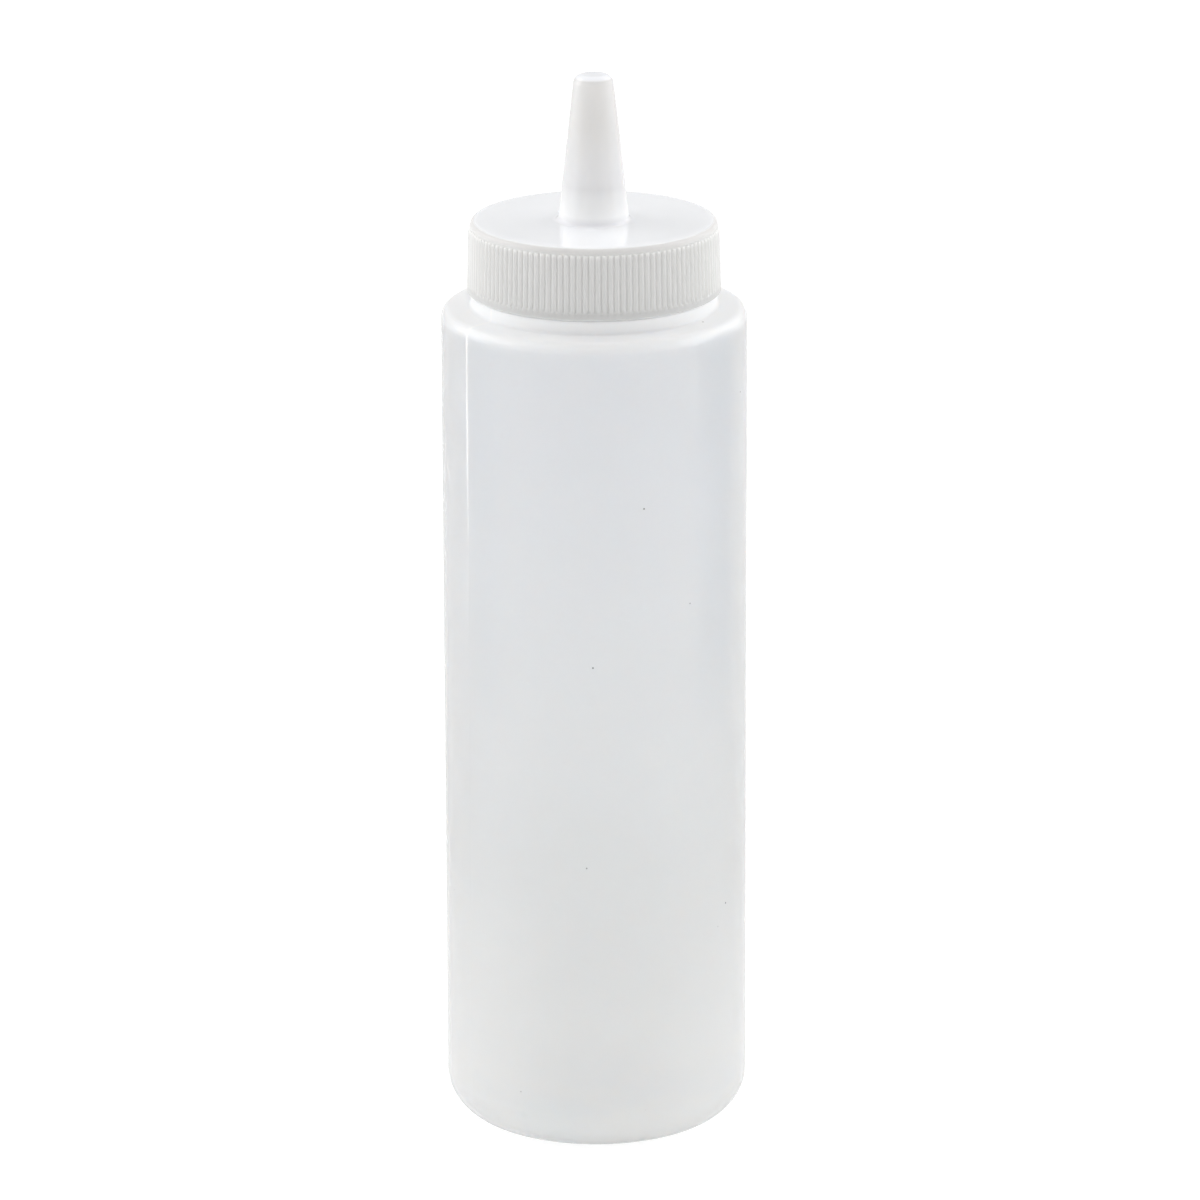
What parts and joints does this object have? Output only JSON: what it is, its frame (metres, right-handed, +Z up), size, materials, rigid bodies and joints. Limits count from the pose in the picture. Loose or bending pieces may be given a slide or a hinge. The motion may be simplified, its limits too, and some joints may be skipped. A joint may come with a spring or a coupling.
{
  "type": "squeeze sauce bottle",
  "caption": "Milky squeeze bottle for sauce: round body, ribbed screw cap with a flat top and a long cone nozzle. The cap unscrews with a coupled turn and rise.",
  "frame": {"origin": "centre of the ring that the bottle stands on", "axes": "+Z up the bottle's axis to the nozzle's tip; -Y towards the viewer and +X to the right in the picture"},
  "size_m": [0.05, 0.05, 0.1777],
  "materials": {
    "bottle_polyethylene": "natural translucent low-density polyethylene, blow moulded, satin, milky bluish white",
    "seal_foam": "closed-cell polyethylene foam sheet, off-white, matte",
    "cap_polyethylene": "natural low-density polyethylene, injection moulded, milky white, glossy disc and satin skirt"
  },
  "bodies": {
    "bottle": {"bottle": "bottle_polyethylene"},
    "seal": {"sealing_ring": "seal_foam"},
    "cap": {"screw_cap": "cap_polyethylene"}
  },
  "joints": [
    {"name": "cap_rise", "type": "slide", "parent": "bottle", "child": "seal", "axis": [0, 0, 1], "range_m": [0, 0.0034]},
    {"name": "cap_turn", "type": "hinge", "parent": "seal", "child": "cap", "pos_m": [0, 0, 0.1521], "axis": [0, 0, 1], "range_deg": [0, 288]}
  ],
  "couplings": [
    {"joint": "cap_rise", "follows": "cap_turn", "m_per_rad": 0.00067376}
  ]
}
